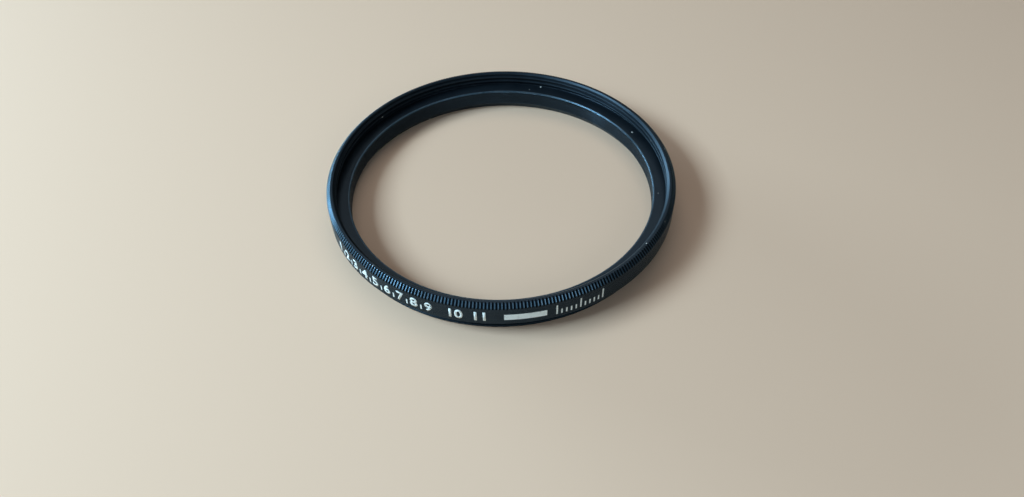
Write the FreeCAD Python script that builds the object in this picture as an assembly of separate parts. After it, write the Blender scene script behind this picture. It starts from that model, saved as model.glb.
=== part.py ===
import FreeCAD, Part

import math
import os

# Extension ring for screw-in filters: a female thread at the top and a male thread of the same size below.
# Millimetres, axis of the ring along Z, foot of the ring at Z = 0.

# Filter thread at both ends of the ring
THREAD_SIZE = 52.0
THREAD_PITCH = 0.75
MALE_THREAD_CLEARANCE = 0.10

# Widths across the ring's section
RIM_WALL = 1.00
SEAT_LIP_WIDTH = 2.25
FOOT_WALL = 0.95

# Heights up the outside of the ring
SPIGOT_LENGTH = 2.40
BAND_HEIGHT = 3.25
BEVEL_SIZE = 0.60

# Heights inside the ring
SEAT_DEPTH = 2.45
FLARE_HEIGHT = 1.30

# Turned details
SPIGOT_END_CHAMFER = 0.35
SPIGOT_RELIEF_WIDTH = 0.50
FEMALE_RELIEF_WIDTH = 0.65
RELIEF_CLEARANCE = 0.10
EDGE_BREAK = 0.10

# Straight knurl along the 45 degree bevel
KNURL_PITCH = 0.493
KNURL_CREST = 0.20
KNURL_DEPTH = 0.12

# Thread radii from the standard 60 degree profile
MALE_CREST = (THREAD_SIZE - MALE_THREAD_CLEARANCE) / 2
MALE_ROOT = (THREAD_SIZE - 1.2268 * THREAD_PITCH) / 2
FEMALE_CREST = (THREAD_SIZE - 1.0825 * THREAD_PITCH) / 2
FEMALE_ROOT = THREAD_SIZE / 2

# Radii that follow from the sizes above
BODY_RADIUS = FEMALE_ROOT + RIM_WALL
APERTURE_RADIUS = FEMALE_ROOT - SEAT_LIP_WIDTH
FOOT_OUTER_RADIUS = MALE_CREST - SPIGOT_END_CHAMFER
FOOT_INNER_RADIUS = FOOT_OUTER_RADIUS - FOOT_WALL
SPIGOT_RELIEF_RADIUS = MALE_ROOT - RELIEF_CLEARANCE
FEMALE_RELIEF_RADIUS = FEMALE_ROOT + RELIEF_CLEARANCE

# Heights that follow from the sizes above
SHOULDER_Z = SPIGOT_LENGTH
BEVEL_Z = SHOULDER_Z + BAND_HEIGHT
TOP_Z = BEVEL_Z + BEVEL_SIZE
SEAT_Z = TOP_Z - SEAT_DEPTH
LEAD_IN_Z = TOP_Z - (FEMALE_ROOT - FEMALE_CREST)
MALE_THREAD_TOP_Z = SHOULDER_Z - SPIGOT_RELIEF_WIDTH
FEMALE_THREAD_FOOT_Z = SEAT_Z + FEMALE_RELIEF_WIDTH

# Teeth that fit round the foot of the bevel
KNURL_TEETH = round(2 * math.pi * BODY_RADIUS / KNURL_PITCH)


def spigot_side():
    """Radius and height pairs up the outside of the male thread spigot to its shoulder."""
    return [
        (FOOT_OUTER_RADIUS, 0.0),
        (MALE_CREST, SPIGOT_END_CHAMFER),
        (MALE_CREST, MALE_THREAD_TOP_Z),
        (SPIGOT_RELIEF_RADIUS, MALE_THREAD_TOP_Z),
        (SPIGOT_RELIEF_RADIUS, SHOULDER_Z),
    ]


def band_side():
    """Radius and height pairs up the plain band to a square rim, before the bevel is knurled."""
    return [
        (BODY_RADIUS - EDGE_BREAK, SHOULDER_Z),
        (BODY_RADIUS, SHOULDER_Z + EDGE_BREAK),
        (BODY_RADIUS, TOP_Z),
    ]


def inner_side():
    """Radius and height pairs down the female thread, over the seat lip and down the flared bore."""
    return [
        (FEMALE_ROOT, TOP_Z),
        (FEMALE_CREST, LEAD_IN_Z),
        (FEMALE_CREST, FEMALE_THREAD_FOOT_Z),
        (FEMALE_RELIEF_RADIUS, FEMALE_THREAD_FOOT_Z),
        (FEMALE_RELIEF_RADIUS, SEAT_Z),
        (APERTURE_RADIUS + EDGE_BREAK, SEAT_Z),
        (APERTURE_RADIUS, SEAT_Z - EDGE_BREAK),
        (APERTURE_RADIUS, FLARE_HEIGHT),
        (FOOT_INNER_RADIUS, 0.0),
    ]


def turned_ring():
    """The ring as it is turned from its section, with a square rim."""
    pairs = spigot_side() + band_side() + inner_side()
    points = [FreeCAD.Vector(radius, 0, height) for radius, height in pairs]
    section = Part.Face(Part.makePolygon(points + points[:1]))
    return section.revolve(FreeCAD.Vector(0, 0, 0), FreeCAD.Vector(0, 0, 1), 360)


def knurl_point(radius, angle):
    """Point at the height of the bevel's foot, at a radius and an angle in radians round the axis."""
    return FreeCAD.Vector(radius * math.cos(angle), radius * math.sin(angle), BEVEL_Z)


def knurl_outline():
    """Points round the foot of the bevel: the two ends of each tooth's crest, then the root beside it."""
    tooth_angle = 2 * math.pi / KNURL_TEETH
    half_crest = KNURL_CREST / 2 / BODY_RADIUS
    sink = KNURL_DEPTH / math.sqrt(2)
    root_radius = BODY_RADIUS * (BODY_RADIUS - sink) / (BODY_RADIUS + sink)
    points = []
    for tooth in range(KNURL_TEETH):
        middle = tooth * tooth_angle
        points.append(knurl_point(BODY_RADIUS, middle - half_crest))
        points.append(knurl_point(BODY_RADIUS, middle + half_crest))
        points.append(knurl_point(root_radius, middle + tooth_angle / 2))
    return points


def knurled_cone():
    """The bevel's cone with its teeth, from under the foot to above the top. Every edge runs to its tip."""
    tip = FreeCAD.Vector(0, 0, BEVEL_Z + BODY_RADIUS)
    outline = knurl_outline()
    shares = (1 + TOP_Z / BODY_RADIUS, 1 - 2 * BEVEL_SIZE / BODY_RADIUS)
    wide, narrow = [[tip + (point - tip) * share for point in outline] for share in shares]
    faces = [Part.Face(Part.makePolygon(end + end[:1])) for end in (wide, narrow)]
    for i in range(len(outline)):
        side = [wide[i - 1], wide[i], narrow[i], narrow[i - 1], wide[i - 1]]
        faces.append(Part.Face(Part.makePolygon(side)))
    return Part.Solid(Part.Shell(faces))


def extension_ring():
    """The finished ring: the turned section, bevelled and knurled by the toothed cone."""
    return turned_ring().common(knurled_cone())


os.makedirs("parts", exist_ok=True)
extension_ring().exportStep("parts/extension_ring.step")
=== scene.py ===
"""Looks of a knurled extension ring for screw-in filters: threads, knurl, black anodising and white print."""

import logging
import math
from dataclasses import dataclass, replace
from enum import Enum

import bmesh
import bpy
from mathutils import Matrix, Vector

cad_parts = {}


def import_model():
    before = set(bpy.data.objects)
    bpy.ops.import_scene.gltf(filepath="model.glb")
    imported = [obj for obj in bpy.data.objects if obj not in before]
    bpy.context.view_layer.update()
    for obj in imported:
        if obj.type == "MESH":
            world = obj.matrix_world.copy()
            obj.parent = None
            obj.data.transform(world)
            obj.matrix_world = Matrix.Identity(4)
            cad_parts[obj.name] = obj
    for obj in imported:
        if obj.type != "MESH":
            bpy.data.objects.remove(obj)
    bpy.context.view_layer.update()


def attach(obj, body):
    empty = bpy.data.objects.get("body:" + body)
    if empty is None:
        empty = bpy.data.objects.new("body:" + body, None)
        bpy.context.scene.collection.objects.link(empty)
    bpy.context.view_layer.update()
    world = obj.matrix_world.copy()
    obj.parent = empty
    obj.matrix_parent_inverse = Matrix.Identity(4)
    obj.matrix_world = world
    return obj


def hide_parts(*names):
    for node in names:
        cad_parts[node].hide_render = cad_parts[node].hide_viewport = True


LOG = logging.getLogger("extension_ring")

MM = 0.001
BODY = "root"
RING_NODE = "extension_ring"
WEAR_ATTRIBUTE = "edge_wear"
# Mesh attribute of painted shade: a darker colour that stands in for shade in grooves and recesses
PAINTED_SHADE_ATTRIBUTE = "hollow"
TOOLING_ATTRIBUTE = "tooling"

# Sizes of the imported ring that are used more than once, in millimetres, and the number of its knurl teeth
BAND_RADIUS = 27.0
THREAD_RADIUS = 26.0
TOP_HEIGHT = 6.25
TEETH = 344

# Depth of the tool marks on the plain band, as a share of the deepest
BAND_TOOLING = 0.6

Colour = tuple[float, float, float]


class Slot(Enum):
    """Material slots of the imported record."""

    BLACK_ANODISED = "black_anodised"
    WHITE_PRINT = "white_print"


class ThreadSide(Enum):
    """Which way the crests of a thread point, towards the axis or away from it."""

    INSIDE = -1
    OUTSIDE = 1


class LampColour(Enum):
    """Colours of the studio's lamps."""

    COOL = (0.62, 0.86, 1.0)
    PALE = (0.76, 0.91, 1.0)
    WARM = (1.0, 0.96, 0.90)


def opaque(colour: Colour) -> tuple[float, float, float, float]:
    """The colour with full alpha, as colour sockets take it."""
    return (*colour, 1.0)


def bearing(angle: float, radius: float, height: float) -> Vector:
    """Point in metres at a bearing, in degrees from the front (-Y) towards +X, radius and height in mm."""
    turn = math.radians(angle)
    return Vector((radius * math.sin(turn), -radius * math.cos(turn), height)) * MM


def add_to_scene(name: str, data: bpy.types.ID) -> bpy.types.Object:
    """Makes an object and links it to the scene.

    Args:
        name: Name of the object.
        data: Its mesh, lamp or camera.

    Returns:
        The object.
    """
    made = bpy.data.objects.new(name, data)
    bpy.context.scene.collection.objects.link(made)
    return made


@dataclass(frozen=True)
class Spot:
    """A point of the turned section in millimetres, with its wear, painted shade and tool marks from 0 to 1.
    The painted shade darkens the colour where shade falls.
    """

    radius: float
    height: float
    wear: float = 0.0
    hollow: float = 0.0
    tooling: float = 0.0


@dataclass(frozen=True)
class Corner:
    """A corner of the turned section, rounded to a fillet."""

    radius: float
    height: float
    fillet: float
    wear: float = 0.0


def rounded(start: Spot, corners: list[Corner], end: Spot, guard: float = 0.09, steps: int = 4) -> list[Spot]:
    """Rounds the corners of a section line and keeps its straight stretches straight beside them.

    Args:
        start: First point of the line, which is left out of the result.
        corners: Corners along the line.
        end: Last point of the line, which is left out of the result.
        guard: Distance from a fillet at which the straight stretch gets a row of its own, in millimetres.
        steps: Rows along each fillet.

    Returns:
        The spots from just after start to just before end.
    """
    line = [Vector((start.radius, start.height))]
    line += [Vector((corner.radius, corner.height)) for corner in corners]
    line += [Vector((end.radius, end.height))]
    spots: list[Spot] = []
    for i, corner in enumerate(corners, 1):
        to_last, to_next = line[i - 1] - line[i], line[i + 1] - line[i]
        half = to_last.angle(to_next) / 2
        reach = corner.fillet / math.tan(half)
        inward = (to_last.normalized() + to_next.normalized()).normalized()
        middle = line[i] + inward * corner.fillet / math.sin(half)
        first, last = line[i] + to_last.normalized() * reach, line[i] + to_next.normalized() * reach
        if to_last.length > 2 * (reach + guard):
            before = first + to_last.normalized() * guard
            spots.append(Spot(before.x, before.y))
        for step in range(steps + 1):
            out = (first - middle).lerp(last - middle, step / steps).normalized() * corner.fillet
            spots.append(Spot(middle.x + out.x, middle.y + out.y, corner.wear))
        if to_next.length > 2 * (reach + guard):
            after = last + to_next.normalized() * guard
            spots.append(Spot(after.x, after.y))
    return spots


class TurnedMesh:
    """Vertices and faces of a turned body, gathered ring by ring in millimetres."""

    def __init__(self) -> None:
        """Starts with nothing."""
        self.points: list[Vector] = []
        self.wear: list[float] = []
        self.hollow: list[float] = []
        self.tooling: list[float] = []
        self.faces: list[list[int]] = []

    def point(self, spot: Spot, angle: float) -> int:
        """Adds a vertex.

        Args:
            spot: Its place in the section.
            angle: Its angle about the axis from +X, in radians.

        Returns:
            The vertex's number.
        """
        x, y = spot.radius * math.cos(angle), spot.radius * math.sin(angle)
        self.points.append(Vector((x, y, spot.height)))
        self.wear.append(spot.wear)
        self.hollow.append(spot.hollow)
        self.tooling.append(spot.tooling)
        return len(self.points) - 1

    def circle(self, spot: Spot, columns: int) -> list[int]:
        """Numbers of a new round ring of vertices at a spot, with as many vertices as there are columns."""
        return [self.point(spot, math.tau * column / columns) for column in range(columns)]

    def face(self, *corners: int) -> None:
        """Adds a face, leaving out corners that repeat and faces that have no width.

        Args:
            *corners: Numbers of the face's vertices, in order.
        """
        kept = list(dict.fromkeys(corners))
        if len(kept) > 2:
            self.faces.append(kept)

    def strip(self, one: list[int], other: list[int]) -> None:
        """Joins two rings that have as many vertices as each other."""
        for i in range(len(one)):
            self.face(one[i - 1], one[i], other[i], other[i - 1])

    def fan(self, coarse: list[int], fine: list[int]) -> None:
        """Joins two rings, of which one has a whole number of vertices for each of the other's.

        Args:
            coarse: The ring with fewer vertices.
            fine: The ring with more vertices.
        """
        each = len(fine) // len(coarse)
        for i in range(len(coarse)):
            left, right = coarse[i], coarse[(i + 1) % len(coarse)]
            edge = [fine[(i * each + k) % len(fine)] for k in range(each + 1)]
            for k in range(each):
                self.face(left if k < each // 2 else right, edge[k], edge[k + 1])
            self.face(left, edge[each // 2], right)

    def sweep(self, first: list[int], spots: list[Spot], last: list[int]) -> None:
        """Joins two rings by round rings at the spots between them.

        Args:
            first: The ring at the start.
            spots: Places of the rings between, in order.
            last: The ring at the end.
        """
        rings = [first, *(self.circle(spot, len(first)) for spot in spots), last]
        for one, other in zip(rings, rings[1:]):
            self.strip(one, other)

    def to_object(self, name: str, crease: float) -> bpy.types.Object:
        """Makes the piece of the gathered mesh.

        Args:
            name: Name of the piece.
            crease: Edges that bend by more than this many degrees stay sharp.

        Returns:
            The piece, linked to the scene.
        """
        mesh = bpy.data.meshes.new(name)
        mesh.from_pydata([point * MM for point in self.points], [], self.faces)
        marks = {WEAR_ATTRIBUTE: self.wear, PAINTED_SHADE_ATTRIBUTE: self.hollow, TOOLING_ATTRIBUTE: self.tooling}
        for title, values in marks.items():
            mesh.attributes.new(title, "FLOAT", "POINT").data.foreach_set("value", values)
        work = bmesh.new()
        work.from_mesh(mesh)
        bmesh.ops.recalc_face_normals(work, faces=work.faces)
        work.to_mesh(mesh)
        work.free()
        mesh.shade_smooth()
        mesh.set_sharp_from_angle(angle=math.radians(crease))
        return add_to_scene(name, mesh)


@dataclass(frozen=True)
class FilterThread:
    """A right-handed 60 degree thread between two heights, chamfered at its mouth. Millimetres."""

    side: ThreadSide
    crest_radius: float
    root_radius: float
    low: float
    high: float
    mouth_radius: float
    mouth_height: float
    crest_wear: float
    # Painted shade at the crest and at the root: a darker colour that stands in for shade in the thread
    crest_hollow: float
    root_hollow: float
    pitch: float = 0.75
    crest_share: float = 0.25
    root_share: float = 0.125
    corner_share: float = 0.04

    def phases(self) -> list[float]:
        """Places the rows along one pitch.

        Returns:
            Shares of the pitch, from the middle of a crest to just before the next one.
        """
        crest, root, corner = self.crest_share / 2, (1 - self.root_share) / 2, self.corner_share / 2
        third = (root - crest) / 3
        rising = [crest - corner, crest + corner, crest + third, root - third, root - corner, root + corner]
        return [0.0, *rising, 0.5, *(1 - phase for phase in reversed(rising))]

    def depth(self, phase: float) -> float:
        """Finds how deep the profile lies.

        Args:
            phase: Place along the thread, in pitches from the middle of a crest.

        Returns:
            The depth, from 0 at the crest to 1 at the root.
        """
        crest, root = self.crest_share / 2, (1 - self.root_share) / 2
        away = abs(phase - round(phase))
        return min(1.0, max(0.0, (away - crest) / (root - crest)))

    def spot(self, height: float, turn: float) -> Spot:
        """Finds the thread's surface.

        Args:
            height: Height over the foot.
            turn: Share of a full turn from +X.

        Returns:
            The spot, trimmed by the chamfer at the mouth.
        """
        depth = self.depth(height / self.pitch - turn)
        radius = self.crest_radius + (self.root_radius - self.crest_radius) * depth
        cone = self.mouth_radius + abs(self.mouth_height - height) * self.side.value
        trimmed = min(radius, cone) if self.side is ThreadSide.OUTSIDE else max(radius, cone)
        # Painted shade, from the crest's share at the crest to the root's share at the root
        hollow = self.crest_hollow + (self.root_hollow - self.crest_hollow) * depth
        return Spot(trimmed, height, self.crest_wear * (1.0 - depth), hollow)

    def rows(self) -> list[float]:
        """Places the rows of the helix where the turn starts.

        Returns:
            Their heights, from a pitch under the thread to its top.
        """
        first, last = math.floor(self.low / self.pitch) - 2, math.ceil(self.high / self.pitch) + 1
        heights = [(turn + phase) * self.pitch for turn in range(first, last) for phase in self.phases()]
        inside = [height for height in heights if self.low - self.pitch < height < self.high]
        return [self.low - self.pitch, *inside, self.high]

    def build(self, mesh: TurnedMesh, columns: int, sliver: float = 0.004) -> tuple[list[int], list[int]]:
        """Adds the thread to a mesh, with its rows along the helix.

        Args:
            mesh: The mesh that takes it.
            columns: Vertices round each row.
            sliver: Rows closer than this to an end of the thread join it.

        Returns:
            The rings at the thread's low and high ends.
        """
        turns = [column / columns for column in range(columns)]
        low_end, high_end = [
            [mesh.point(self.spot(end, turn), math.tau * turn) for turn in turns]
            for end in (self.low, self.high)
        ]
        rows, pitch_rows = self.rows(), len(self.phases())
        made: dict[tuple[int, int], int] = {}

        def corner(row: int, column: int) -> int:
            """Finds or adds the vertex where a row crosses a column.

            Args:
                row: Number of the row.
                column: Number of the column. One past the last is the first again, a pitch further up.

            Returns:
                The vertex's number.
            """
            height = rows[row] + self.pitch * column / columns
            if height < self.low + sliver:
                return low_end[column % columns]
            if height > self.high - sliver:
                return high_end[column % columns]
            if column == columns:
                return corner(row + pitch_rows, 0)
            if (row, column) not in made:
                made[row, column] = mesh.point(self.spot(height, turns[column]), math.tau * turns[column])
            return made[row, column]

        for row in range(len(rows) - 1):
            for column in range(columns):
                mesh.face(
                    corner(row, column),
                    corner(row, column + 1),
                    corner(row + 1, column + 1),
                    corner(row + 1, column),
                )
        return low_end, high_end


@dataclass(frozen=True)
class KnurlColumn:
    """A column of a knurl tooth: millimetres along the pitch, and depth, wear and painted shade from 0 to 1;
    the painted shade darkens the grooves where shade falls.
    """

    along: float
    depth: float
    wear: float
    hollow: float


@dataclass(frozen=True)
class Knurl:
    """Straight teeth along the 45 degree bevel, all running to the tip of the bevel's cone. Millimetres."""

    teeth: int
    foot_radius: float
    foot_height: float
    top_height: float
    pitch: float = 0.493
    crest: float = 0.20
    depth: float = 0.12
    crest_edge: float = 0.02
    root_edge: float = 0.03
    worn_width: float = 0.09
    end_break: float = 0.04
    guard: float = 0.018
    edge_wear: float = 0.1
    # Painted shade at the crest's edge and on the flanks: a darker colour that stands in for shade in the
    # grooves
    edge_hollow: float = 0.3
    flank_hollow: float = 0.7

    def columns(self) -> list[KnurlColumn]:
        """Places the columns of one tooth.

        Returns:
            The columns, from the middle of the tooth's crest to just before the next one.
        """
        half, root = self.crest / 2, self.pitch / 2 - self.root_edge
        flank = self.pitch / 2 - half
        deepest = 1.0 - self.root_edge / flank / 2
        # Crests are worn and carry no painted shade; flanks and roots carry painted shade that stands in for
        # shade in the grooves
        rising = [
            KnurlColumn(self.worn_width / 2, depth=0.0, wear=1.0, hollow=0.0),
            KnurlColumn(half - self.crest_edge, depth=0.0, wear=self.edge_wear, hollow=self.edge_hollow),
            KnurlColumn(half + self.crest_edge, self.crest_edge / flank, wear=0.0, hollow=self.flank_hollow),
            KnurlColumn(root, (root - half) / flank, wear=0.0, hollow=1.0),
        ]
        falling = [replace(column, along=self.pitch - column.along) for column in reversed(rising)]
        crest = KnurlColumn(0.0, depth=0.0, wear=1.0, hollow=0.0)
        bottom = KnurlColumn(self.pitch / 2, deepest, wear=0.0, hollow=1.0)
        return [crest, *rising, bottom, *falling]

    def section(self, column: KnurlColumn) -> list[Spot]:
        """Finds the line that one column follows.

        Args:
            column: The column.

        Returns:
            Spots from the band, up the bevel and onto the land.
        """
        sink = self.depth / math.sqrt(2)
        root_radius = self.foot_radius * (self.foot_radius - sink) / (self.foot_radius + sink)
        radius = self.foot_radius + (root_radius - self.foot_radius) * column.depth
        slope = self.foot_radius / radius
        foot = Vector((self.foot_radius, self.foot_height - (self.foot_radius - radius) * slope))
        top = Vector((radius - (self.top_height - self.foot_height) / slope, self.top_height))
        up = (top - foot).normalized() * self.end_break * math.sqrt(2)
        guarded = (top - foot).normalized() * (self.end_break * math.sqrt(2) + self.guard)
        on_bevel = [foot + up, foot + guarded, top - guarded, top - up]
        return [
            # Rows at the ends of the bevel carry half the column's wear and painted shade
            Spot(foot.x, foot.y - self.end_break - self.guard, tooling=BAND_TOOLING),
            Spot(foot.x, foot.y - self.end_break, column.wear / 2, column.hollow / 2),
            *(Spot(place.x, place.y, column.wear, column.hollow) for place in on_bevel),
            Spot(top.x - self.end_break, top.y, column.wear / 2, column.hollow / 2),
            Spot(top.x - self.end_break - self.guard, top.y),
        ]

    def build(self, mesh: TurnedMesh) -> tuple[list[int], list[int]]:
        """Adds the knurl to a mesh.

        Args:
            mesh: The mesh that takes it.

        Returns:
            The rings on the band below the knurl and on the land above it.
        """
        columns = [(column.along / self.pitch, self.section(column)) for column in self.columns()]
        rings = [
            [
                mesh.point(section[row], math.tau * (tooth + share) / self.teeth)
                for tooth in range(self.teeth)
                for share, section in columns
            ]
            for row in range(len(columns[0][1]))
        ]
        for one, other in zip(rings, rings[1:]):
            mesh.strip(one, other)
        return rings[0], rings[-1]


class Wiring:
    """Adds nodes to a node tree and links them."""

    # Sockets of a Mix node that work on colours: the share and both colours, and the result
    MIX_INPUTS = (0, 6, 7)
    MIX_OUTPUT = 2

    def __init__(self, tree: bpy.types.NodeTree) -> None:
        """Keeps the tree that is wired."""
        self.tree = tree

    def node(self, kind: str, **settings: object) -> bpy.types.Node:
        """Adds a node.

        Args:
            kind: Type name of the node.
            **settings: Properties to set on it.

        Returns:
            The node.
        """
        made = self.tree.nodes.new(kind)
        for name, value in settings.items():
            setattr(made, name, value)
        return made

    def feed(self, target: bpy.types.NodeSocket, source: object) -> None:
        """Links a socket to another or sets it to a plain value.

        Args:
            target: The socket that takes it.
            source: The socket or the value that it takes.
        """
        if isinstance(source, bpy.types.NodeSocket):
            self.tree.links.new(source, target)
        else:
            target.default_value = source

    def feed_named(self, target: bpy.types.Node, sources: dict[str, object]) -> None:
        """Feeds a node's inputs by their names."""
        for name, source in sources.items():
            self.feed(target.inputs[name], source)

    def attribute(self, name: str) -> bpy.types.NodeSocket:
        """Reads a value that the mesh carries."""
        return self.node("ShaderNodeAttribute", attribute_name=name).outputs["Fac"]

    def math(self, operation: str, *values: object, clamp: bool = False) -> bpy.types.NodeSocket:
        """Adds a Math node.

        Args:
            operation: Type name of the operation.
            *values: Sockets or numbers it works on.
            clamp: Whether the result stays from 0 to 1.

        Returns:
            The result.
        """
        made = self.node("ShaderNodeMath", operation=operation, use_clamp=clamp)
        for target, value in zip(made.inputs, values):
            self.feed(target, value)
        return made.outputs[0]

    def span(
        self, value: object, low: float, high: float, start: float = 0.0, end: float = 1.0
    ) -> bpy.types.NodeSocket:
        """Maps a value from one range to another, clamped.

        Args:
            value: The value that is mapped.
            low: Low end of its range.
            high: High end of its range.
            start: Result at the low end.
            end: Result at the high end.

        Returns:
            The result.
        """
        made = self.node("ShaderNodeMapRange")
        for target, source in zip(made.inputs, (value, low, high, start, end)):
            self.feed(target, source)
        return made.outputs["Result"]

    def blend(self, share: object, one: object, other: object) -> bpy.types.NodeSocket:
        """Mixes two colours.

        Args:
            share: Share of the second colour.
            one: First colour.
            other: Second colour.

        Returns:
            The mixed colour.
        """
        made = self.node("ShaderNodeMix", data_type="RGBA")
        for number, source in zip(self.MIX_INPUTS, (share, one, other)):
            self.feed(made.inputs[number], source)
        return made.outputs[self.MIX_OUTPUT]

    def noise(
        self, vector: object, scale: object, detail: float, roughness: float = 0.55
    ) -> bpy.types.NodeSocket:
        """Adds a noise texture.

        Args:
            vector: Where it is read.
            scale: How fine it is.
            detail: Number of finer layers.
            roughness: Strength of the finer layers.

        Returns:
            The noise, about 0 to 1.
        """
        made = self.node("ShaderNodeTexNoise")
        self.feed_named(made, {"Vector": vector, "Scale": scale, "Detail": detail, "Roughness": roughness})
        return made.outputs["Fac"]

    def bump(self, height: object, depth: float, strength: float = 1.0) -> bpy.types.NodeSocket:
        """Adds a bump.

        Args:
            height: Height of the surface, as a share of the depth.
            depth: Depth of the bump, in millimetres.
            strength: Share of the bump that shows.

        Returns:
            The bumped normal.
        """
        made = self.node("ShaderNodeBump")
        self.feed_named(made, {"Height": height, "Distance": depth * MM, "Strength": strength})
        return made.outputs["Normal"]

    def group(self, effect: bpy.types.NodeTree, **values: object) -> bpy.types.NodeSocket:
        """Places a shared effect.

        Args:
            effect: The effect's node group.
            **values: Values or sockets for its inputs, by name.

        Returns:
            What the effect puts out.
        """
        made = self.node("ShaderNodeGroup", node_tree=effect)
        self.feed_named(made, values)
        return made.outputs[0]


class Effects:
    """Surface effects that the finishes share, each a node group that is built once."""

    # Radius of a dust mote, as a share of the cell that it lies in
    LEAST_MOTE = 0.06
    MOTE_RANGE = 0.16
    # Edge of a nick, as a share of its radius, and how fine its raggedness is
    LEAST_EDGE = 0.55
    EDGE_RANGE = 0.9
    EDGE_GRAIN = 9000.0

    def __init__(self) -> None:
        """Builds every effect."""
        self.turned_lines = self.build_turned_lines()
        self.mottle = self.build_mottle()
        self.burnish = self.build_burnish()
        self.rubbed_edges = self.build_rubbed_edges()
        self.dust = self.build_dust()
        self.nick = self.build_nick()

    @staticmethod
    def begin(
        name: str, numbers: tuple[str, ...], output: str, points: tuple[str, ...] = ("Vector",)
    ) -> tuple[Wiring, bpy.types.Node, bpy.types.Node]:
        """Starts a node group.

        Args:
            name: Name of the group.
            numbers: Names of its inputs that take a number.
            output: Name of its one output.
            points: Names of its inputs that take a point, which come first.

        Returns:
            The group's wiring, its input node and its output node.
        """
        tree = bpy.data.node_groups.new(name, "ShaderNodeTree")
        for kind, titles in (("NodeSocketVector", points), ("NodeSocketFloat", numbers)):
            for title in titles:
                tree.interface.new_socket(title, in_out="INPUT", socket_type=kind)
        tree.interface.new_socket(output, in_out="OUTPUT", socket_type="NodeSocketFloat")
        wiring = Wiring(tree)
        return wiring, wiring.node("NodeGroupInput"), wiring.node("NodeGroupOutput")

    def build_turned_lines(self) -> bpy.types.NodeTree:
        """Makes the fine lines that a lathe tool leaves round the axis.

        Returns:
            The node group.
        """
        wiring, given, result = self.begin("Turned lines", ("Scale", "Drift"), "Lines")
        place = wiring.node("ShaderNodeSeparateXYZ")
        wiring.feed(place.inputs[0], given.outputs["Vector"])
        x, y, z = place.outputs
        squares = wiring.math("ADD", wiring.math("MULTIPLY", x, x), wiring.math("MULTIPLY", y, y))
        across = wiring.math("SQRT", squares)
        section = wiring.node("ShaderNodeCombineXYZ")
        wiring.feed(section.inputs[0], wiring.math("MULTIPLY", across, given.outputs["Scale"]))
        wiring.feed(section.inputs[1], wiring.math("MULTIPLY", z, given.outputs["Scale"]))
        drift = wiring.noise(given.outputs["Vector"], given.outputs["Drift"], detail=1.0)
        wiring.feed(section.inputs[2], drift)
        lines = wiring.noise(section.outputs[0], scale=1.0, detail=3.0, roughness=0.6)
        wiring.feed(result.inputs[0], lines)
        return wiring.tree

    def build_mottle(self) -> bpy.types.NodeTree:
        """Makes uneven patches over a surface, as a value about the middle of 0 to 1.

        Returns:
            The node group.
        """
        wiring, given, result = self.begin("Mottle", ("Scale", "Contrast"), "Value")
        patches = wiring.noise(given.outputs["Vector"], given.outputs["Scale"], detail=5.0)
        spread = wiring.math("MULTIPLY", wiring.math("SUBTRACT", patches, 0.5), given.outputs["Contrast"])
        wiring.feed(result.inputs[0], wiring.math("ADD", spread, 0.5, clamp=True))
        return wiring.tree

    def build_burnish(self) -> bpy.types.NodeTree:
        """Makes the even polish that handling leaves on the edges that the mesh marks as worn.

        Returns:
            The node group.
        """
        wiring, given, result = self.begin("Burnish", ("Scale", "Unevenness"), "Mask")
        patches = wiring.noise(given.outputs["Vector"], given.outputs["Scale"], detail=3.0)
        lost = wiring.math("MULTIPLY", patches, given.outputs["Unevenness"])
        kept = wiring.math("SUBTRACT", 1.0, lost, clamp=True)
        wiring.feed(result.inputs[0], wiring.math("MULTIPLY", wiring.attribute(WEAR_ATTRIBUTE), kept))
        return wiring.tree

    def build_rubbed_edges(self) -> bpy.types.NodeTree:
        """Makes the broken rubbing along the edges that the mesh marks as worn.

        Returns:
            The node group.
        """
        wiring, given, result = self.begin("Rubbed edges", ("Scale", "Amount"), "Mask")
        broken = wiring.noise(given.outputs["Vector"], given.outputs["Scale"], detail=4.0, roughness=0.7)
        through = wiring.span(broken, low=0.42, high=0.72)
        reach = wiring.math("MULTIPLY", wiring.attribute(WEAR_ATTRIBUTE), through)
        wiring.feed(result.inputs[0], wiring.math("MULTIPLY", reach, given.outputs["Amount"], clamp=True))
        return wiring.tree

    def build_dust(self) -> bpy.types.NodeTree:
        """Makes sparse round motes of dust.

        Returns:
            The node group.
        """
        wiring, given, result = self.begin("Dust", ("Scale", "Share"), "Mask")
        cells = wiring.node("ShaderNodeTexVoronoi")
        wiring.feed_named(cells, {"Vector": given.outputs["Vector"], "Scale": given.outputs["Scale"]})
        luck = wiring.node("ShaderNodeSeparateColor")
        wiring.feed(luck.inputs[0], cells.outputs["Color"])
        chosen = wiring.math("LESS_THAN", luck.outputs[0], given.outputs["Share"])
        size = wiring.math("MULTIPLY_ADD", luck.outputs[1], self.MOTE_RANGE, self.LEAST_MOTE)
        mote = wiring.math("LESS_THAN", cells.outputs["Distance"], size)
        wiring.feed(result.inputs[0], wiring.math("MULTIPLY", chosen, mote))
        return wiring.tree

    def build_nick(self) -> bpy.types.NodeTree:
        """Makes one small nick or fleck at a given place, ragged at its edge.

        Returns:
            The node group.
        """
        wiring, given, result = self.begin("Nick", ("Radius",), "Mask", points=("Vector", "Centre"))
        away = wiring.node("ShaderNodeVectorMath", operation="DISTANCE")
        wiring.feed(away.inputs[0], given.outputs["Vector"])
        wiring.feed(away.inputs[1], given.outputs["Centre"])
        grain = wiring.noise(given.outputs["Vector"], self.EDGE_GRAIN, detail=2.0)
        ragged = wiring.math("MULTIPLY_ADD", grain, self.EDGE_RANGE, self.LEAST_EDGE)
        edge = wiring.math("MULTIPLY", ragged, given.outputs["Radius"])
        wiring.feed(result.inputs[0], wiring.math("LESS_THAN", away.outputs["Value"], edge))
        return wiring.tree


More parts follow.
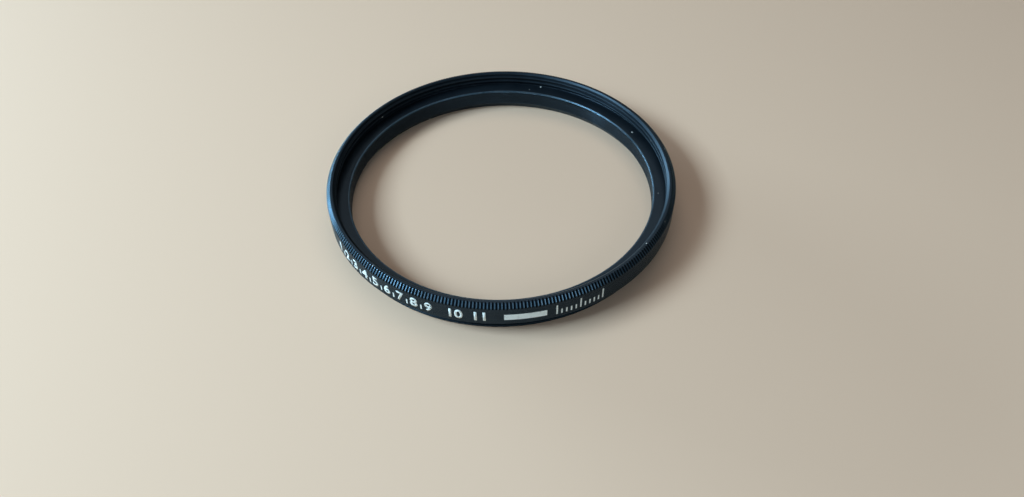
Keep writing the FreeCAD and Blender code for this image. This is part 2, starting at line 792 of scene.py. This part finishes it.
def begin_finish(name: str) -> tuple[bpy.types.Material, Wiring, bpy.types.Node, bpy.types.NodeSocket]:
    """Starts a material.

    Args:
        name: Name of the material.

    Returns:
        The material, its wiring, its shader and the places on its surface.
    """
    finish = bpy.data.materials.new(name)
    finish.use_nodes = True
    wiring = Wiring(finish.node_tree)
    shader = finish.node_tree.nodes["Principled BSDF"]
    return finish, wiring, shader, wiring.node("ShaderNodeTexCoord").outputs["Object"]


@dataclass(frozen=True)
class Nick:
    """A nick or fleck on the ring: its bearing in degrees, place in the section and size in millimetres."""

    angle: float
    radius: float
    height: float
    size: float


@dataclass(frozen=True)
class BlackAnodising:
    """Satin black anodising on turned aluminium, with its line depth in millimetres."""

    deep: Colour = (0.017, 0.027, 0.040)
    thin: Colour = (0.026, 0.039, 0.054)
    # Painted shade: the darkest colour, which stands in for shade in grooves, thread roots and the bore
    dull: Colour = (0.003, 0.005, 0.007)
    burnished: Colour = (0.085, 0.170, 0.255)
    bare: Colour = (0.30, 0.36, 0.41)
    fleck: Colour = (0.62, 0.66, 0.68)
    edge_tint: Colour = (0.60, 0.72, 0.80)
    ior: float = 1.4
    metal: float = 0.68
    more_metal: float = 0.3
    smooth: float = 0.26
    rough: float = 0.40
    line_share: float = 0.6
    patch_share: float = 0.4
    # Extra roughness where the painted shade lies
    hollow_roughness: float = 0.25
    burnish_roughness: float = -0.10
    line_scale: float = 9000.0
    mark_scale: float = 30000.0
    line_drift: float = 40.0
    line_depth: float = 0.0014
    tool_marks: float = 105.0
    nicks: tuple[Nick, ...] = (
        Nick(angle=64.0, radius=26.5, height=6.05, size=0.13),
        Nick(angle=52.0, radius=26.1, height=6.25, size=0.09),
        Nick(angle=100.0, radius=26.6, height=5.95, size=0.12),
        Nick(angle=118.0, radius=24.9, height=3.8, size=0.13),
        Nick(angle=168.0, radius=24.7, height=3.8, size=0.08),
        Nick(angle=-43.0, radius=26.3, height=6.22, size=0.09),
    )

    def flecks(self, wiring: Wiring, effects: Effects, place: bpy.types.NodeSocket) -> bpy.types.NodeSocket:
        """Gathers the dust and the nicks.

        Args:
            wiring: The material's wiring.
            effects: The shared surface effects.
            place: The places on the surface.

        Returns:
            Their mask.
        """
        mask = wiring.group(effects.dust, Vector=place, Scale=700.0, Share=0.03)
        for nick in self.nicks:
            centre = bearing(nick.angle, nick.radius, nick.height)
            spot = wiring.group(effects.nick, Vector=place, Centre=centre, Radius=nick.size * MM)
            mask = wiring.math("MAXIMUM", mask, spot)
        return mask

    def material(self, effects: Effects) -> bpy.types.Material:
        """Makes the material.

        Args:
            effects: The shared surface effects.

        Returns:
            The material.
        """
        finish, wiring, shader, place = begin_finish(Slot.BLACK_ANODISED.value)
        turned = {"Vector": place, "Drift": self.line_drift}
        lines = wiring.group(effects.turned_lines, Scale=self.line_scale, **turned)
        marks = wiring.group(effects.turned_lines, Scale=self.mark_scale, **turned)
        patches = wiring.group(effects.mottle, Vector=place, Scale=260.0, Contrast=1.6)
        rubbed = wiring.group(effects.rubbed_edges, Vector=place, Scale=1400.0, Amount=0.25)
        burnish = wiring.group(effects.burnish, Vector=place, Scale=300.0, Unevenness=0.5)
        # Painted shade from the mesh darkens the oxide towards the painted shade colour, standing in for
        # shade in grooves and recesses
        hollow = wiring.attribute(PAINTED_SHADE_ATTRIBUTE)
        flecks = self.flecks(wiring, effects, place)

        oxide = wiring.blend(patches, opaque(self.deep), opaque(self.thin))
        shaded = wiring.blend(hollow, oxide, opaque(self.dull))
        handled = wiring.blend(burnish, shaded, opaque(self.burnished))
        worn = wiring.blend(rubbed, handled, opaque(self.bare))
        wiring.feed(shader.inputs["Base Color"], wiring.blend(flecks, worn, opaque(self.fleck)))

        # Burnished edges and painted shade both raise the metallic share
        burnish_and_painted_shade = wiring.math("MAXIMUM", burnish, hollow)
        metal = wiring.math("MULTIPLY_ADD", burnish_and_painted_shade, self.more_metal, self.metal)
        wiring.feed(shader.inputs["Metallic"], wiring.math("SUBTRACT", metal, flecks, clamp=True))

        uneven_patches = wiring.math("MULTIPLY", patches, self.patch_share)
        uneven = wiring.math("MULTIPLY_ADD", lines, self.line_share, uneven_patches)
        satin = wiring.span(uneven, low=0.3, high=0.7, start=self.smooth, end=self.rough)
        matt = wiring.math("MULTIPLY_ADD", hollow, self.hollow_roughness, satin)
        polished = wiring.math("MULTIPLY_ADD", burnish, self.burnish_roughness, matt)
        wiring.feed(shader.inputs["Roughness"], polished)

        tooling = wiring.math("MULTIPLY", wiring.attribute(TOOLING_ATTRIBUTE), self.tool_marks)
        height = wiring.math("ADD", lines, wiring.math("MULTIPLY", marks, tooling))
        wiring.feed(shader.inputs["Normal"], wiring.bump(height, self.line_depth))

        shader.inputs["Specular Tint"].default_value = opaque(self.edge_tint)
        shader.inputs["IOR"].default_value = self.ior
        return finish


@dataclass(frozen=True)
class WhitePrint:
    """White ink, printed thinly on the anodising, with its relief in millimetres."""

    full: Colour = (0.80, 0.92, 0.95)
    starved: Colour = (0.56, 0.62, 0.66)
    most_starved: float = 0.7
    roughness: float = 0.5
    relief: float = 0.004
    relief_strength: float = 0.25

    def material(self, effects: Effects) -> bpy.types.Material:
        """Makes the material.

        Args:
            effects: The shared surface effects.

        Returns:
            The material.
        """
        finish, wiring, shader, place = begin_finish(Slot.WHITE_PRINT.value)
        thin = wiring.group(effects.mottle, Vector=place, Scale=2600.0, Contrast=2.4)
        dust = wiring.group(effects.dust, Vector=place, Scale=2500.0, Share=0.12)
        gaps = wiring.math("MAXIMUM", wiring.span(thin, low=0.62, high=0.95), dust)
        lost = wiring.math("MULTIPLY", gaps, self.most_starved)
        wiring.feed(shader.inputs["Base Color"], wiring.blend(lost, opaque(self.full), opaque(self.starved)))
        wiring.feed(shader.inputs["Normal"], wiring.bump(thin, self.relief, self.relief_strength))
        shader.inputs["Roughness"].default_value = self.roughness
        return finish


@dataclass(frozen=True)
class PaleFloor:
    """Plain pale floor paint, with its relief in millimetres."""

    colour: Colour = (0.79, 0.57, 0.425)
    roughness: float = 0.75
    relief: float = 0.02
    relief_strength: float = 0.1

    def material(self, effects: Effects) -> bpy.types.Material:
        """Makes the material.

        Args:
            effects: The shared surface effects.

        Returns:
            The material.
        """
        finish, wiring, shader, place = begin_finish("pale_floor")
        grain = wiring.group(effects.mottle, Vector=place, Scale=900.0, Contrast=0.8)
        wiring.feed(shader.inputs["Normal"], wiring.bump(grain, self.relief, self.relief_strength))
        shader.inputs["Base Color"].default_value = opaque(self.colour)
        shader.inputs["Roughness"].default_value = self.roughness
        return finish


def ride_and_slot(piece: bpy.types.Object) -> None:
    """Ties a piece to the ring's body."""
    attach(piece, BODY)


@dataclass
class ExtensionRing:
    """The turned ring with both threads and the knurl. Millimetres, foot of the ring at height 0."""

    finish: BlackAnodising
    columns: int = TEETH
    crease: float = 50.0
    # The male thread carries heavy painted shade, a darker colour that stands in for the shade under the
    # band's shoulder
    male: FilterThread = FilterThread(
        ThreadSide.OUTSIDE,
        crest_radius=25.95,
        root_radius=25.54,
        low=0.0,
        high=1.9,
        mouth_radius=25.6,
        mouth_height=0.0,
        crest_wear=0.1,
        crest_hollow=0.7,
        root_hollow=1.0,
    )
    # The female thread carries lighter painted shade, a darker colour that stands in for shade inside the
    # ring
    female: FilterThread = FilterThread(
        ThreadSide.INSIDE,
        crest_radius=25.594,
        root_radius=THREAD_RADIUS,
        low=4.45,
        high=TOP_HEIGHT,
        mouth_radius=THREAD_RADIUS,
        mouth_height=TOP_HEIGHT,
        crest_wear=0.05,
        crest_hollow=0.25,
        root_hollow=0.45,
    )
    knurl: Knurl = Knurl(teeth=TEETH, foot_radius=BAND_RADIUS, foot_height=5.65, top_height=TOP_HEIGHT)
    spigot_relief_radius: float = 25.44
    female_relief_radius: float = 26.1
    shoulder_height: float = 2.4
    seat_height: float = 3.8
    aperture_radius: float = 23.75
    flare_height: float = 1.3
    foot_inner_radius: float = 24.65
    edge_break: float = 0.1
    edge_round: float = 0.035
    lip_round: float = 0.15
    groove_round: float = 0.1
    shoulder_wear: float = 0.1
    lip_wear: float = 0.65
    flare_wear: float = 0.2
    foot_wear: float = 0.8
    # Painted shade in the bore: a darker colour that stands in for shade there and dims the floor's
    # reflection
    bore_hollow: float = 0.15
    bore_tooling: float = 1.0
    band_row_height: float = 5.2
    land_row_radius: float = 26.025

    def outside(self) -> list[Spot]:
        """Follows the section from the top of the male thread, round its relief and up the plain band.

        Returns:
            The spots along it.
        """
        band = self.knurl.foot_radius
        start = Spot(self.male.root_radius, self.male.high)
        corners = [
            Corner(self.spigot_relief_radius, self.male.high, self.edge_round),
            Corner(self.spigot_relief_radius, self.shoulder_height, self.groove_round),
            Corner(band - self.edge_break, self.shoulder_height, self.edge_round, self.shoulder_wear),
            Corner(band, self.shoulder_height + self.edge_break, self.edge_round, self.shoulder_wear),
        ]
        return [
            replace(spot, tooling=BAND_TOOLING) if spot.height > self.shoulder_height else spot
            for spot in rounded(start, corners, Spot(band, self.band_row_height))
        ]

    def inside(self) -> list[Spot]:
        """Follows the section from the foot of the female thread, over the seat lip and down the flared bore.

        Returns:
            The spots along it.
        """
        start = Spot(self.female.root_radius, self.female.low)
        corners = [
            Corner(self.female_relief_radius, self.female.low, self.edge_round),
            Corner(self.female_relief_radius, self.seat_height, self.groove_round),
            Corner(self.aperture_radius + self.edge_break, self.seat_height, self.lip_round, self.lip_wear),
            Corner(self.aperture_radius, self.seat_height - self.edge_break, self.lip_round, self.lip_wear),
            Corner(self.aperture_radius, self.flare_height, self.groove_round, self.flare_wear),
            Corner(self.foot_inner_radius, 0.0, self.edge_round, self.foot_wear),
        ]
        under_lip = self.seat_height - self.edge_break - self.lip_round
        # The bore below the lip gets its painted shade and tool marks
        in_bore = {"hollow": self.bore_hollow, "tooling": self.bore_tooling}
        return [
            replace(spot, **in_bore) if spot.height < under_lip else spot
            for spot in rounded(start, corners, Spot(self.male.mouth_radius, 0.0))
        ]

    def build(self) -> bpy.types.Object:
        """Makes the ring's piece.

        Returns:
            The piece, linked to the scene.
        """
        mesh = TurnedMesh()
        male_low, male_high = self.male.build(mesh, self.columns)
        female_low, female_high = self.female.build(mesh, self.columns)
        knurl_foot, knurl_top = self.knurl.build(mesh)
        on_band = Spot(self.knurl.foot_radius, self.band_row_height, tooling=BAND_TOOLING)
        band_row = mesh.circle(on_band, self.columns)
        land_row = mesh.circle(Spot(self.land_row_radius, self.knurl.top_height), self.columns)
        mesh.sweep(male_high, self.outside(), band_row)
        mesh.fan(band_row, knurl_foot)
        mesh.fan(land_row, knurl_top)
        mesh.strip(land_row, female_high)
        mesh.sweep(female_low, self.inside(), male_low)
        return mesh.to_object("turned_ring", self.crease)

    def dress(self, piece: bpy.types.Object, effects: Effects) -> None:
        """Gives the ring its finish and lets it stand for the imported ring.

        Args:
            piece: The ring's piece.
            effects: The shared surface effects.
        """
        piece.data.materials.append(self.finish.material(effects))
        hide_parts(RING_NODE)
        ride_and_slot(piece)


@dataclass(frozen=True)
class MarkRow:
    """A row of evenly spaced marks: bearings of the first and the last in degrees, and their number."""

    first: float
    last: float
    count: int

    def angles(self) -> list[float]:
        """Bearings of the marks in degrees."""
        return [self.first + (self.last - self.first) * i / (self.count - 1) for i in range(self.count)]


@dataclass
class PrintedMarks:
    """White marks round the front of the band: dial numbers, an index bar and a tick scale.

    Sizes are in millimetres, with the foot and head of the bar over the foot of the print. The ends of the
    bar are bearings in degrees.
    """

    finish: WhitePrint
    band_radius: float = BAND_RADIUS
    foot: float = 3.1
    head: float = 4.95
    short_head: float = 4.0
    stroke: float = 0.22
    ink: float = 0.012
    sunk: float = 0.03
    facet: float = 0.3
    weld: float = 1e-5
    tick_scale: MarkRow = MarkRow(first=16.0, last=31.0, count=11)
    tall_every: int = 5
    near_ticks: MarkRow = MarkRow(first=-58.1, last=-24.4, count=8)
    near_numbers: MarkRow = MarkRow(first=-60.5, last=-22.0, count=9)
    far_numbers: MarkRow = MarkRow(first=-14.0, last=-6.5, count=2)
    number_height: float = 1.8
    number_weight: float = 0.06
    number_steps: int = 6
    bar_left: float = 0.5
    bar_right: float = 13.0
    bar_foot: float = 0.25
    bar_head: float = 1.35

    def arc(self, angle: float) -> float:
        """Distance along the band from its front to a bearing in degrees."""
        return math.radians(angle) * self.band_radius

    def field(self, flat: bmesh.types.BMesh, left: float, right: float, low: float, high: float) -> None:
        """Adds a plain field of ink to the flat print, in facets that bend with the band.

        Args:
            flat: The flat print.
            left: Left end of the field, along the band.
            right: Right end of the field.
            low: Height of its foot.
            high: Height of its head.
        """
        count = max(1, math.ceil((right - left) / self.facet))
        for i in range(count):
            sides = [left + (right - left) * (i + k) / count for k in (0, 1)]
            corners = ((sides[0], low), (sides[1], low), (sides[1], high), (sides[0], high))
            flat.faces.new([flat.verts.new((x, y, 0.0)) for x, y in corners])

    def ticks(self, flat: bmesh.types.BMesh, row: MarkRow, tall_every: int = 0) -> None:
        """Adds a row of ticks to the flat print.

        Args:
            flat: The flat print.
            row: Places of the ticks.
            tall_every: Every tick of this number is tall, from the first on, or none where it is 0.
        """
        for i, angle in enumerate(row.angles()):
            middle = self.arc(angle)
            head = self.head if tall_every and i % tall_every == 0 else self.short_head
            self.field(flat, middle - self.stroke / 2, middle + self.stroke / 2, self.foot, head)

    def numbers(self, flat: bmesh.types.BMesh, row: MarkRow, first_number: int) -> None:
        """Adds a row of dial numbers to the flat print, counting up from the first."""
        for number, angle in enumerate(row.angles(), first_number):
            self.number(flat, str(number), angle)

    def number(self, flat: bmesh.types.BMesh, digits: str, angle: float) -> None:
        """Adds one number to the flat print.

        Args:
            flat: The flat print.
            digits: The number's digits.
            angle: Bearing of its middle, in degrees.
        """
        curve = bpy.data.curves.new("dial_number", "FONT")
        curve.body = digits
        curve.align_x = "CENTER"
        curve.offset = self.number_weight / 2
        curve.resolution_u = self.number_steps
        writing = bpy.data.objects.new("dial_number", curve)
        drawn = bpy.data.meshes.new_from_object(writing)
        low = min(vertex.co.y for vertex in drawn.vertices)
        tall = max(vertex.co.y for vertex in drawn.vertices) - low
        size = self.number_height / tall
        shift = Matrix.Translation((self.arc(angle), self.foot - low * size, 0.0))
        drawn.transform(shift @ Matrix.Diagonal((size, size, 1.0, 1.0)))
        flat.from_mesh(drawn)
        bpy.data.objects.remove(writing)
        bpy.data.curves.remove(curve)
        bpy.data.meshes.remove(drawn)

    def draw(self) -> bmesh.types.BMesh:
        """Draws the print flat, with X along the band and Y up it.

        Returns:
            The flat print, without the slivers that crowd an edge.
        """
        flat = bmesh.new()
        self.numbers(flat, self.near_numbers, 1)
        self.numbers(flat, self.far_numbers, self.near_numbers.count + 1)
        self.ticks(flat, self.near_ticks)
        self.ticks(flat, self.tick_scale, self.tall_every)
        left, right = self.arc(self.bar_left), self.arc(self.bar_right)
        self.field(flat, left, right, self.foot + self.bar_foot, self.foot + self.bar_head)
        bmesh.ops.remove_doubles(flat, verts=flat.verts, dist=self.weld)
        crowded = [edge for edge in flat.edges if len(edge.link_faces) > 2]
        slivers = [min(edge.link_faces, key=lambda face: face.calc_area()) for edge in crowded]
        bmesh.ops.delete(flat, geom=list(dict.fromkeys(slivers)), context="FACES")
        return flat

    def wrap(self, flat: bmesh.types.BMesh) -> None:
        """Gives the flat print its thickness and wraps it round the band.

        Args:
            flat: The flat print.
        """
        grown = bmesh.ops.extrude_face_region(flat, geom=list(flat.faces), use_keep_orig=True)
        for item in grown["geom"]:
            if isinstance(item, bmesh.types.BMVert):
                item.co.z = -self.sunk - self.ink
        bmesh.ops.recalc_face_normals(flat, faces=flat.faces)
        for vertex in flat.verts:
            radius = self.band_radius + self.ink + vertex.co.z
            vertex.co = bearing(math.degrees(vertex.co.x / self.band_radius), radius, vertex.co.y)

    def build(self) -> bpy.types.Object:
        """Makes the print as thin patches that are wrapped round the band.

        Returns:
            The piece, linked to the scene.
        """
        print_mesh = self.draw()
        self.wrap(print_mesh)
        mesh = bpy.data.meshes.new("printed_marks")
        print_mesh.to_mesh(mesh)
        print_mesh.free()
        return add_to_scene("printed_marks", mesh)

    def dress(self, piece: bpy.types.Object, effects: Effects) -> None:
        """Gives the print its ink."""
        piece.data.materials.append(self.finish.material(effects))
        ride_and_slot(piece)


@dataclass(frozen=True)
class SoftBox:
    """A soft oblong lamp aimed at the ring: bearing, elevation and spread in degrees, metres, watts."""

    name: str
    angle: float
    elevation: float
    distance: float
    width: float
    height: float
    power: float
    colour: LampColour
    spread: float = 180.0

    def build(self) -> None:
        """Makes the lamp."""
        lamp = bpy.data.lights.new(self.name, "AREA")
        lamp.shape = "RECTANGLE"
        lamp.size, lamp.size_y = self.width, self.height
        lamp.energy = self.power
        lamp.spread = math.radians(self.spread)
        lamp.color = self.colour.value
        rise = math.radians(self.elevation)
        place = bearing(self.angle, math.cos(rise) / MM, math.sin(rise) / MM) * self.distance
        stand = add_to_scene(self.name, lamp)
        stand.location = place
        stand.visible_camera = False
        stand.rotation_mode = "QUATERNION"
        stand.rotation_quaternion = (-place).to_track_quat("-Z", "Y")


@dataclass(frozen=True)
class Viewpoint:
    """The photograph's camera: focal length and width in pixels, degrees, and millimetres."""

    focal: float = 800.0
    picture_width: float = 1024.0
    sensor: float = 36.0
    distance: float = 121.71
    elevation: float = 47.342
    roll: float = -1.12
    aim_x: float = 1.479
    aim_y: float = -10.793
    nearest: float = 5.0

    def build(self) -> None:
        """Makes the camera and hands it to the scene."""
        rise, roll = math.radians(self.elevation), math.radians(self.roll)
        back = Vector((0.0, -math.cos(rise), math.sin(rise)))
        level = Vector((1.0, 0.0, 0.0))
        upright = back.cross(level)
        right = level * math.cos(roll) + upright * math.sin(roll)
        up = upright * math.cos(roll) - level * math.sin(roll)
        lens = bpy.data.cameras.new("viewpoint")
        lens.sensor_width = self.sensor
        lens.lens = self.sensor * self.focal / self.picture_width
        lens.clip_start = self.nearest * MM
        camera = add_to_scene("viewpoint", lens)
        place = (Vector((self.aim_x, self.aim_y, 0.0)) + back * self.distance) * MM
        camera.matrix_world = Matrix.Translation(place) @ Matrix((right, up, back)).transposed().to_4x4()
        bpy.context.scene.camera = camera


@dataclass
class Studio:
    """Floor, lamps, world and camera round the ring. Metres."""

    floor_finish: PaleFloor
    viewpoint: Viewpoint
    floor_size: float = 6.0
    ambient: Colour = (1.0, 0.98, 0.95)
    ambient_strength: float = 0.05
    lamps: tuple[SoftBox, ...] = (
        SoftBox(
            "window_box",
            angle=-76.0,
            elevation=39.5,
            distance=0.42,
            width=0.225,
            height=0.133,
            power=2.00,
            colour=LampColour.COOL,
        ),
        SoftBox(
            "low_strip",
            angle=-129.5,
            elevation=4.0,
            distance=1.8,
            width=0.960,
            height=0.252,
            power=8.50,
            colour=LampColour.COOL,
            spread=80.0,
        ),
        SoftBox(
            "side_card",
            angle=-88.0,
            elevation=14.0,
            distance=0.5,
            width=0.404,
            height=0.158,
            power=0.06,
            colour=LampColour.COOL,
        ),
        SoftBox(
            "front_card",
            angle=-8.0,
            elevation=36.0,
            distance=0.5,
            width=1.0,
            height=0.2,
            power=0.46,
            colour=LampColour.PALE,
        ),
        SoftBox(
            "right_card",
            angle=38.0,
            elevation=34.0,
            distance=0.5,
            width=0.25,
            height=0.158,
            power=0.16,
            colour=LampColour.PALE,
        ),
        SoftBox(
            "ceiling_box",
            angle=180.0,
            elevation=62.0,
            distance=0.7,
            width=0.6,
            height=0.5,
            power=0.90,
            colour=LampColour.WARM,
        ),
    )

    def lay_floor(self, effects: Effects) -> None:
        """Makes the floor, which belongs to the stage and not to the part.

        Args:
            effects: The shared surface effects.
        """
        half = self.floor_size / 2
        corners = [(-half, -half, 0.0), (half, -half, 0.0), (half, half, 0.0), (-half, half, 0.0)]
        mesh = bpy.data.meshes.new("pale_floor")
        mesh.from_pydata(corners, [], [(0, 1, 2, 3)])
        mesh.materials.append(self.floor_finish.material(effects))
        floor = add_to_scene("pale_floor", mesh)

    def build(self, effects: Effects) -> None:
        """Makes the floor, the lamps, the world and the camera.

        Args:
            effects: The shared surface effects.
        """
        self.lay_floor(effects)
        for lamp in self.lamps:
            lamp.build()
        world = bpy.data.worlds.new("studio_air")
        world.use_nodes = True
        sky = world.node_tree.nodes["Background"]
        sky.inputs["Color"].default_value = opaque(self.ambient)
        sky.inputs["Strength"].default_value = self.ambient_strength
        bpy.context.scene.world = world
        bpy.context.scene.view_settings.view_transform = "Standard"
        self.viewpoint.build()


def main() -> None:
    logging.basicConfig(level=logging.INFO, format="%(name)s: %(message)s")
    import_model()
    effects = Effects()
    for part in (ExtensionRing(BlackAnodising()), PrintedMarks(WhitePrint())):
        piece = part.build()
        part.dress(piece, effects)
        LOG.info("%s: %d faces", piece.name, len(piece.data.polygons))
    Studio(PaleFloor(), Viewpoint()).build(effects)


if __name__ == "__main__":
    main()
